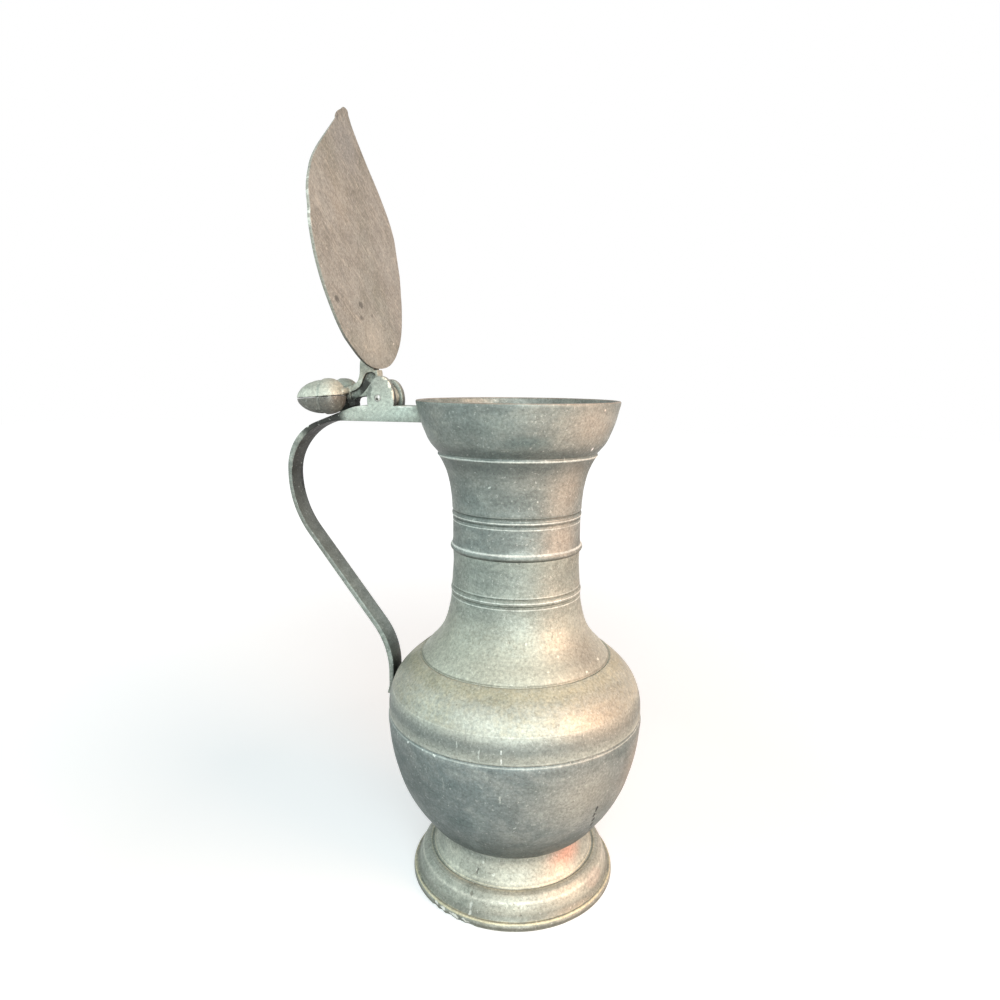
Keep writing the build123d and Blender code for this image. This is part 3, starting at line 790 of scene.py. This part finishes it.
def pin_bar(radius, width, across=0.0, around=64):
    """A cylinder along the hinge axis."""
    alone()
    place = (PIN.x * MM, across * MM, PIN.z * MM)
    bpy.ops.mesh.primitive_cylinder_add(
        vertices=around, radius=radius * MM, depth=width * MM, location=place, rotation=(pi / 2, 0, 0)
    )
    bpy.ops.object.transform_apply(location=True, rotation=True, scale=True)
    return bpy.context.object


back_line = bent(
    [(-44.9, 228.7), (-76.5, 228.7), (-114.0, 214.2), (-114.0, 178.2), (-62.9, 110.0), (-62.9, 85.6)],
    [25, 25, 50, 40], spacing=1.3,
)
front_line = bent(
    [(-43.2, 221.0), (-111.7, 221.0), (-111.7, 179.1), (-60.2, 111.0), (-60.2, 85.6)],
    [27, 46, 38], spacing=0.2,
)
alone()
bpy.ops.mesh.primitive_grid_add(x_subdivisions=len(back_line) - 1, y_subdivisions=SECTION_STEPS, size=1)
handle = bpy.context.object
handle.name = "handle_casting"
for station, back in enumerate(back_line):
    if station in (0, len(back_line) - 1):
        front = front_line[0 if station == 0 else -1]
    else:
        front = min(front_line, key=lambda point: (point - back).length)
    inward = (front - back).normalized()
    thick = (front - back).length
    blend_down = min(1.0, max(0.0, (TAPER_TOP - back.y) / (TAPER_TOP - TAPER_END)))
    half = BAR_HALF_WIDTH + (STRAP_HALF_WIDTH - BAR_HALF_WIDTH) * blend_down
    flare = TAIL_FLARE * max(0.0, (TAIL_LIP - back.y) / (TAIL_LIP - back_line[-1].y))
    near = EDGE_ROUND * 0.3
    arris = half - SCRAPED_WIDTH
    side_foot = thick - SCRAPED_DEPTH - near
    half_section = [
        (0.0, 0.0), (half * 0.5, 0.0), (half - EDGE_ROUND, 0.05), (half - near, near), (half, EDGE_ROUND),
        (half, (EDGE_ROUND + side_foot) / 2), (half, side_foot - near), (half - near, side_foot + near * 0.7),
        (half - EDGE_ROUND, thick - SCRAPED_DEPTH), (arris, thick), (arris * 0.5, thick), (0.0, thick),
    ]
    section = half_section + [(-across, deep) for across, deep in half_section[-2:0:-1]] + [half_section[0]]
    for i, (across, deep) in enumerate(section):
        place = back + inward * deep
        place.x -= flare * (1 - deep / thick)
        vertex = handle.data.vertices[i * len(back_line) + station]
        vertex.co = Vector((place.x, across, place.y)) * MM
bpy.ops.object.mode_set(mode="EDIT")
close_up(STRAP_MERGE, fill=True)
for side, ear_x, half_length, rise in EARS:
    alone()
    bpy.ops.mesh.primitive_cylinder_add(
        vertices=96, radius=MM, depth=(BAR_HALF_WIDTH - EAR_INNER) * MM,
        location=(ear_x * MM, side * (BAR_HALF_WIDTH + EAR_INNER) / 2 * MM, EAR_FOOT * MM),
        rotation=(pi / 2, 0, 0),
    )
    ear = bpy.context.object
    ear.scale = (half_length, rise, 1)
    bpy.ops.object.transform_apply(location=True, rotation=True, scale=True)
    for vertex in ear.data.vertices:
        vertex.co.z = max(vertex.co.z, EAR_ROOT * MM)
    soften(ear, EDGE_ROUND)
    cut(handle, ear, "UNION")
cut(handle, pin_bar(KNUCKLE_SLOT_R, 2 * EAR_INNER + SLOT_OVERCUT), "DIFFERENCE")
cut(handle, pin_bar(PIN_HOLE_R, PIN_HOLE_LENGTH, around=32), "DIFFERENCE")
smooth(handle, 38)
handle_pewter = old_pewter(
    "pewter of the handle, with painted shade inside the bend", "#757b74", "#949a92", "#b7bdb2", cast="#a39b8c",
    rough=0.5,
    seams_and_painted_light=[
        (227.5, 15.5, "#b9c1b5", 0.93), (168.0, 44.0, "#646862", 0.5),
    ],
    # Painted shade on the faces turned down and inward, over their own dark patina.
    painted_side_light=[((0.75, 0, -0.66), "#26261f", 0.95)],
    # Ambient-occlusion darkening: painted shade in recesses, with some dirt.
    crevice_shade=0.8,
    marks=[
        # Painted shadow of the acorns on the strap's bend and the bar, and painted shade under the bend.
        ((-101.0, 0.0, 217.5), (8.0, 12.4, 7.0), "#0c0b09", 0.9),
        ((-92.5, -5.0, 222.5), (12.4, 11.0, 8.5), "#10100d", 0.95),
        ((-81.0, 0.0, 228.5), (5.5, 8.5, 2.2), "#1a1916", 0.8),
        # A painted highlight on the strap's rounded near edge.
        ((-102.5, -6.6, 218.4), (1.3, 1.3, 1.3), "#e3e8df", 0.9),
        # Painted shade along the far side of the strap's inner face.
        ((-111.5, 4.2, 193.0), (2.2, 2.0, 12.4), "#12110e", 0.85),
        ((-107.5, 4.2, 210.5), (4.5, 2.0, 7.0), "#12110e", 0.85),
        ((-60.5, 0.0, 99.0), (5.0, 9.0, 15.0), "#4b4b3b", 0.5),
        ((-113.6, -3.6, 195.5), (1.5, 1.2, 1.8), "#e6eae2", 0.7),
        ((-111.9, 1.5, 172.0), (1.2, 0.7, 2.2), "#dfe4da", 0.7),
        ((-75.0, -7.0, 228.0), (6.0, 2.0, 1.2), "#dfe4da", 0.5),
        # Painted highlights along the near ear's rim and at the end of the bar.
        ((-61.8, -6.9, 241.4), (2.0, 1.0, 1.0), "#f3efdb", 0.85),
        ((-59.5, -6.9, 238.8), (1.1, 1.0, 2.8), "#f3efdb", 0.8),
        ((-58.1, -6.9, 234.0), (0.9, 1.0, 3.2), "#efe9d4", 0.7),
        ((-52.0, -7.0, 228.5), (4.5, 1.0, 0.7), "#f6f4ea", 0.85),
        ((-69.6, -7.0, 236.0), (1.4, 1.6, 5.5), "#5d625c", 0.6),
        ((-57.5, -5.0, 233.0), (1.3, 1.6, 3.4), "#2c241a", 0.6),
    ],
)
handle.data.materials.append(handle_pewter)
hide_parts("handle")
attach(handle, "vessel")

# Hinge pin
# An iron pin driven through both ears and the lid's knuckle, then hammered over at each end.
# Its heads are worn bright; the near one carries a painted highlight and, below it, painted shade.

PIN_R = 1.5
PIN_END = 7.4
PIN_RINGS = (0.35, 0.45, 0.3)
PIN_DOME = 0.42
HAMMER_MARKS = 0.12
HAMMER_FINENESS = 1400

pin = pin_bar(PIN_R, 2 * PIN_END, around=48)
pin.name = "hinge_pin_iron"
bpy.ops.object.mode_set(mode="EDIT")
bpy.ops.mesh.select_all(action="DESELECT")
bpy.ops.object.mode_set(mode="OBJECT")
for face in pin.data.polygons:
    face.select = abs(face.normal.y) > 0.9
bpy.ops.object.mode_set(mode="EDIT")
for ring in PIN_RINGS:
    bpy.ops.mesh.inset(thickness=ring * MM, depth=0)
bpy.ops.object.mode_set(mode="OBJECT")
for vertex in pin.data.vertices:
    out = hypot(vertex.co.x - PIN.x * MM, vertex.co.z - PIN.z * MM) / MM
    end = 1 if vertex.co.y > 0 else -1
    dome = PIN_DOME * (out / PIN_R) ** 2 + HAMMER_MARKS * noise.noise(vertex.co * HAMMER_FINENESS)
    vertex.co.y = end * min(PIN_END, PIN_END - max(0.0, dome)) * MM
smooth(pin, 40)
pin_iron = old_pewter(
    "worn iron of the pin", "#8b8d88", "#b9bbb4", "#dcdcd2", cast="#a38a70", rough=0.35, metal=0.85,
    marks=[
        # Painted shade and a painted highlight on the near head.
        ((-66.3, -7.4, 231.6), (1.0, 1.2, 0.9), "#24231f", 0.85),
        ((-64.9, -7.4, 232.7), (0.6, 1.0, 0.9), "#ffffff", 0.9),
    ],
)
pin.data.materials.append(pin_iron)
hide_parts("hinge_pin")
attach(pin, "vessel")

# Lid
# A flat pewter plate cast with a faint crown on top, filed to a heart-like outline that comes to a
# point over the pouring side. It is modelled shut, lying along the pin, and then thrown back.

SWING = radians(98.2)
LID_BACK = 13.7
LID_TIP = 130.6
LID_WIDEST = 47.5
LID_CROWN = 3.4
LID_CROWN_R = 560.0
LID_HOLLOW = 0.10
LID_HOLLOW_SIZE = 24
LID_EDGE_ROUND = 0.35
LID_MERGE = 0.02
LID_ROWS = 90
FAR_BUMPS = [(27, 25, 2.3), (79, 20, 1.25), (115, 19, 1.9)]
NEAR_BUMPS = [(19, 8, -1.4), (79, 5, -0.9), (103, 8, 0.6), (118, 7, -0.4), (126.5, 3, 2.0)]
DROOP_FROM = 108.0
TIP_DROOP = 2.3
LID_EDGE_CHIPS = [(84, 1.4, 0.35), (88.5, 1.1, 0.3), (93, 1.7, 0.45), (98.5, 1.2, 0.35), (103.5, 1.6, 0.4)]
CHIPPED_OUT = 47
CHIPPED_BAND = 3
NEAR_SIDE = -2

thrown_back = Matrix.Translation(PIN * MM) @ Matrix.Rotation(-SWING, 4, "Y")


def on_lid(along, across, up=0.0):
    """A place in mm on the thrown-back lid, from its distance along the shut lid and across it."""
    return tuple(thrown_back @ (Vector((along, across, up)) * MM) / MM)


half_outline = drawn_line("lid", [
    [(LID_BACK, 0.0), (14.6, 9.5), (17.6, 18.5), (22.7, 26.4), (30.2, 33.8), (40.0, 39.9), (53.0, 45.4),
     (67.0, LID_WIDEST), (77.0, 46.9), (84.0, 45.3), (91.0, 42.2), (97.5, 37.6), (106.0, 28.9)],
    [(106.0, 28.9), (118.0, 15.5), (128.6, 3.4)],
    [(128.6, 3.4), (130.1, 2.2), (LID_TIP, 0.0)],
], closed=False, steps=10)
outline = [(vertex.co.x / MM, vertex.co.z / MM) for vertex in half_outline.data.vertices]
bpy.data.objects.remove(half_outline)
alone()
bpy.ops.mesh.primitive_grid_add(x_subdivisions=len(outline) - 1, y_subdivisions=LID_ROWS, size=1)
lid = bpy.context.object
lid.name = "lid_plate"
for row in range(LID_ROWS + 1):
    across = sin((2 * row / LID_ROWS - 1) * pi / 2)
    for column, (along, half_width) in enumerate(outline):
        for middle, reach, amount in FAR_BUMPS if across > 0 else NEAR_BUMPS:
            half_width += amount * max(0.0, 1 - ((along - middle) / reach) ** 2)
        place = Vector((along, across * max(0.0, min(LID_WIDEST, half_width)), 0))
        lid.data.vertices[row * len(outline) + column].co = place * MM
bpy.ops.object.mode_set(mode="EDIT")
bpy.ops.mesh.select_all(action="SELECT")
bpy.ops.mesh.remove_doubles(threshold=LID_MERGE * MM)
bpy.ops.mesh.extrude_region_move(TRANSFORM_OT_translate={"value": (0, 0, MM)})
bpy.ops.mesh.select_all(action="SELECT")
bpy.ops.mesh.normals_make_consistent(inside=False)
bpy.ops.object.mode_set(mode="OBJECT")
for vertex in lid.data.vertices:
    along, across = vertex.co.x / MM, vertex.co.y / MM
    out_of_middle = hypot(along + PIN.x, across)
    crown = LID_CROWN - out_of_middle ** 2 / (2 * LID_CROWN_R)
    hollow = LID_HOLLOW * (noise.noise(Vector((along, across, 2)) / LID_HOLLOW_SIZE) + 0.55)
    droop = TIP_DROOP * (max(0.0, along - DROOP_FROM) / (LID_TIP - DROOP_FROM)) ** 2
    vertex.co.z = ((crown if vertex.co.z > 0.5 * MM else max(0.0, hollow)) - droop) * MM
    if across < NEAR_SIDE:
        for chip_along, chip_length, chip_depth in LID_EDGE_CHIPS:
            bite = max(0.0, 1 - ((along - chip_along) / chip_length) ** 2)
            from_edge = abs(out_of_middle - hypot(along + PIN.x, CHIPPED_OUT))
            rim = max(0.0, 1 - from_edge / CHIPPED_BAND)
            vertex.co.y += bite * chip_depth * rim * MM * 0.5
soften(lid, LID_EDGE_ROUND, segments=2)
lid.data.transform(thrown_back)
smooth(lid)
lid_pewter = old_pewter(
    "warm taupe pewter of the lid", "#7c7c72", "#939188", "#a7a59b", cast="#889184", rough=0.5, stains=0.35,
    wiped=(1, 1, 1.4),
    scratched=[
        (35, 0.9, "#cdc7b9", 0.34),
        (29, 1.3, "#c7c1b2", 0.24),
        (-52, 0.9, "#c4bdad", 0.18),
        (42, 1.0, "#5f5d54", 0.26),
    ],
    # Painted shade on the edge that faces down, and paler painted light on the edge facing the front.
    painted_side_light=[((0, -0.55, -0.83), "#34342f", 0.95), ((0, -1, 0.2), "#b4b5a9", 0.6)],
    marks=[
        (on_lid(42.6, -34.4), (3, 2.6, 1.8), "#5b584e", 0.85),
        (on_lid(42.5, -9.8), (3, 3.0, 1.9), "#5b584e", 0.9),
        (on_lid(36.6, -10.9), (3, 2.2, 1.5), "#5b584e", 0.85),
        (on_lid(38.5, 1.3), (3, 1.8, 1.4), "#605d54", 0.75),
        (on_lid(26.5, 24.6), (3, 0.9, 0.9), "#f1ece0", 0.8),
        (on_lid(71.8, -47.3, 0.6), (3, 0.4, 2.6), "#dfe2d9", 0.6),
        (on_lid(76.4, -46.4, 0.6), (3, 0.4, 1.7), "#e8eae2", 0.7),
        (on_lid(80.3, -46.0, 0.6), (3, 0.4, 1.0), "#5f625b", 0.7),
        (on_lid(84.8, -45.2, 0.6), (3, 0.4, 2.7), "#e3e6dd", 0.65),
        (on_lid(90.4, -42.7, 0.6), (3, 0.4, 1.5), "#dde0d7", 0.6),
        (on_lid(95.2, -39.6, 0.6), (3, 0.4, 1.2), "#5f625b", 0.6),
        (on_lid(125.2, -7.2), (3, 1.2, 2.4), "#3b3a35", 0.7),
        (on_lid(60, 10), (6, 22, 14), "#87857a", 0.4),
        (on_lid(27, 0), (8, 26, 17), "#c0bdb1", 0.6),
        (on_lid(88, -16), (6, 14, 20), "#b4ac9d", 0.3),
        (on_lid(116, 0), (6, 24, 24), "#84898a", 0.45),
    ],
)
lid.data.materials.append(lid_pewter)
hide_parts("lid")
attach(lid, "lid_assembly")

# Thumbpiece
# One casting, as rough as it left the mould: the hinge knuckle between the ears, the arm soldered
# under the lid's back edge, a heel that stops on the handle, and a yoke with the acorns' front halves.

KNUCKLE_HALF = 3.3
KNUCKLE_R = 7.0
ARM_ROUND = 0.9
POCKET_DEPTH = 1.7
YOKE_PLACE = (5.4, 0, 16.9)
YOKE_SIZE = (3.0, 19.6, 3.6)
YOKE_ROUND = 1.1
SKIN_VOXEL = 0.3
BROAD_LUMPS = 320
FINE_LUMPS = 900
LUMPS_OUT = 0.03
ACORN_MERGE = 0.01
ACORN_S = 5.2
ACORN_Y = 8.5
ACORN_TILT = radians(3.9)
ACORN_NOSE = 39.7
ACORN_SECTION = [
    [(0.0, 16.0), (2.9, 16.3), (5.7, 17.6), (7.5, 19.6), (8.3, 22.2), (8.45, 24.2)],
    [(8.45, 24.2), (8.3, 24.9), (7.6, 25.1)],
    [(7.6, 25.1), (7.8, 26.6), (7.6, 29.2), (6.9, 32.2), (5.7, 35.0), (4.0, 37.4), (2.0, 39.1),
     (0.0, ACORN_NOSE)],
]


def acorn_place(side, back=0.0):
    """Moves an acorn to its side of the yoke and dips its cup about its nose."""
    to_nose = Matrix.Translation((0, 0, ACORN_NOSE * MM))
    dip = to_nose @ Matrix.Rotation(ACORN_TILT, 4, "Y") @ to_nose.inverted()
    return Matrix.Translation(((ACORN_S - back) * MM, side * ACORN_Y * MM, 0)) @ dip


def acorn_half(name, front, smaller=0.0):
    """Half of an acorn in its cup, standing along Z, closed by the flat of the mould's parting plane."""
    piece = drawn_line(name, ACORN_SECTION, closed=False, steps=6)
    for vertex in piece.data.vertices:
        vertex.co.x = max(0.0, vertex.co.x - smaller * MM) if vertex.co.x > 0.0002 else 0.0
    piece.data.transform(Matrix.Rotation(-pi / 2 if front else pi / 2, 4, "Z"))
    bpy.ops.object.mode_set(mode="EDIT")
    bpy.ops.mesh.select_all(action="SELECT")
    bpy.ops.mesh.spin(steps=56, angle=pi, center=(0, 0, 0), axis=(0, 0, 1))
    close_up(ACORN_MERGE, fill=True)
    middle = sum((vertex.co.x for vertex in piece.data.vertices), 0.0)
    if (middle > 0) != front:
        piece.data.transform(Matrix.Rotation(pi, 4, "Z"))
    return piece


def slab(name, outline, half_thickness):
    """A plate of that (along, up) outline, standing in the handle's middle plane."""
    piece = drawn_line(name, outline)
    bpy.ops.object.mode_set(mode="EDIT")
    bpy.ops.mesh.select_all(action="SELECT")
    bpy.ops.mesh.edge_face_add()
    bpy.ops.mesh.extrude_region_move(TRANSFORM_OT_translate={"value": (0, 2 * half_thickness * MM, 0)})
    bpy.ops.mesh.select_all(action="SELECT")
    bpy.ops.mesh.normals_make_consistent(inside=False)
    bpy.ops.object.mode_set(mode="OBJECT")
    piece.data.transform(Matrix.Translation((0, -half_thickness * MM, 0)))
    return piece


arm = slab("thumbpiece_casting", [
    [(36.0, 1.2), (36.0, 2.2)],
    [(36.0, 2.2), (32.0, 2.9), (27.0, 4.0), (22.5, 5.7), (18.3, 7.7), (14.2, 8.6), (11.0, 9.6),
     (8.6, 11.6), (7.7, 14.2), (7.6, 17.6)],
    [(7.6, 17.6), (4.5, 18.4), (1.0, 17.4)],
    [(1.0, 17.4), (-2.4, 16.4)],
    [(-2.4, 16.4), (-2.1, 13.5)],
    [(-2.1, 13.5), (0.4, 13.2), (1.5, 12.2), (1.7, 10.0), (1.5, 7.0)],
    [(1.5, 7.0), (1.2, 2.0), (2.5, -0.3)],
    [(2.5, -0.3), (13.3, -0.4)],
    [(13.3, -0.4), (13.3, 1.2)],
    [(13.3, 1.2), (36.0, 1.2)],
], KNUCKLE_HALF)
soften(arm, ARM_ROUND, angle=40)
for side in (-1, 1):
    pocket = slab("arm_pocket", [
        [(12.6, 3.2), (12.2, 5.4), (10.0, 7.3), (7.0, 9.2), (5.4, 11.8), (4.6, 15.0)],
        [(4.6, 15.0), (1.0, 15.0)],
        [(1.0, 15.0), (2.9, 9.4), (5.0, 6.6), (7.4, 4.2), (9.0, 1.6)],
        [(9.0, 1.6), (11.5, 1.2), (12.6, 3.2)],
    ], POCKET_DEPTH)
    pocket.data.transform(Matrix.Translation((0, side * KNUCKLE_HALF * MM, 0)))
    cut(arm, pocket, "DIFFERENCE")
alone()
bpy.ops.mesh.primitive_cylinder_add(
    vertices=96, radius=KNUCKLE_R * MM, depth=2 * KNUCKLE_HALF * MM, rotation=(pi / 2, 0, 0)
)
knuckle = bpy.context.object
bpy.ops.object.transform_apply(location=True, rotation=True, scale=True)
alone()
bpy.ops.mesh.primitive_cube_add(size=MM, location=[c * MM for c in YOKE_PLACE], scale=YOKE_SIZE)
yoke = bpy.context.object
bpy.ops.object.transform_apply(location=True, rotation=True, scale=True)
soften(yoke, YOKE_ROUND)
halves = []
for side in (-1, 1):
    half = acorn_half("acorn_front", True)
    half.data.transform(acorn_place(side))
    halves.append(half)
alone()
for piece in [arm, knuckle, yoke] + halves:
    piece.select_set(True)
bpy.context.view_layer.objects.active = arm
bpy.ops.object.join()
thumbpiece = bpy.context.object
thumbpiece.name = "thumbpiece_casting"
skin = thumbpiece.modifiers.new("cast skin", "REMESH")
skin.mode = "VOXEL"
skin.voxel_size = SKIN_VOXEL * MM
bpy.ops.object.modifier_apply(modifier=skin.name)
soft = thumbpiece.modifiers.new("cast softness", "SMOOTH")
soft.factor = 0.5
soft.iterations = 3
bpy.ops.object.modifier_apply(modifier=soft.name)
outwards = [vertex.normal.copy() for vertex in thumbpiece.data.vertices]
for vertex, outward in zip(thumbpiece.data.vertices, outwards):
    lump = noise.noise(vertex.co * BROAD_LUMPS) * 0.07 + noise.noise(vertex.co * FINE_LUMPS) * 0.035
    vertex.co += outward * min(0.0, lump - LUMPS_OUT) * MM
thumbpiece.data.transform(thrown_back)
smooth(thumbpiece, 60)
thumb_pewter = old_pewter(
    "as-cast pewter of the thumbpiece", "#878d81", "#b4b9ac", "#e2e5d7", cast="#a99d90", rough=0.6,
    # Ambient-occlusion darkening is painted shade in recesses, with some dirt; faces turned down get painted
    # shade.
    crevice_shade=0.97,
    painted_side_light=[((0, 0, -1), "#4b4a44", 0.8)],
    marks=[
        ((-91.7, 0.0, 232.0), (0.7, 26.0, 15.0), "#4e4c45", 0.7),
        ((-90.4, 0.0, 232.0), (0.6, 26.0, 15.0), "#eeefe3", 0.55),
        # Painted shade in the arm's side pocket and under the acorns by the heel.
        ((-74.2, -0.9, 237.6), (4.2, 2.0, 7.0), "#1f1d18", 0.9),
        ((-81.5, 0.0, 229.3), (7.0, 8.5, 4.2), "#100f0c", 0.95),
        (on_lid(9.8, -3.2, 25.6), (2.5, 3.0, 0.8), "#f0f1e6", 0.6),
        (on_lid(8.0, -9.0, 21.0), (3.0, 4.0, 1.2), "#8f857a", 0.5),
    ],
)
thumbpiece.data.materials.append(thumb_pewter)
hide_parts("thumbpiece")
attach(thumbpiece, "lid_assembly")

# Acorn backs
# The back halves of the two acorns, cast in pewter apart and soldered on. The joint has opened to a
# dark line.

SEAM_GAP = 0.22
BACK_SMALLER = 0.12
BACK_ROUND = 0.25

for name, side in (("right_acorn_back", -1), ("left_acorn_back", 1)):
    back_half = acorn_half(name + "_casting", False, smaller=BACK_SMALLER)
    back_half.data.transform(acorn_place(side, SEAM_GAP))
    soften(back_half, BACK_ROUND, segments=2, angle=60)
    back_half.data.transform(thrown_back)
    smooth(back_half, 50)
    # The backs face down, so their pewter is a darker copy of the thumbpiece's: painted shade.
    back_half.data.materials.append(old_pewter(
        "brown-grey pewter under the acorns", "#53534d", "#6b6b64", "#85857d", cast="#736a61", rough=0.5,
        marks=[((-91.7, 0.0, 232.0), (0.6, 26.0, 15.0), "#c9cabf", 0.5)],
    ))
    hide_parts(name)
    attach(back_half, "lid_assembly")
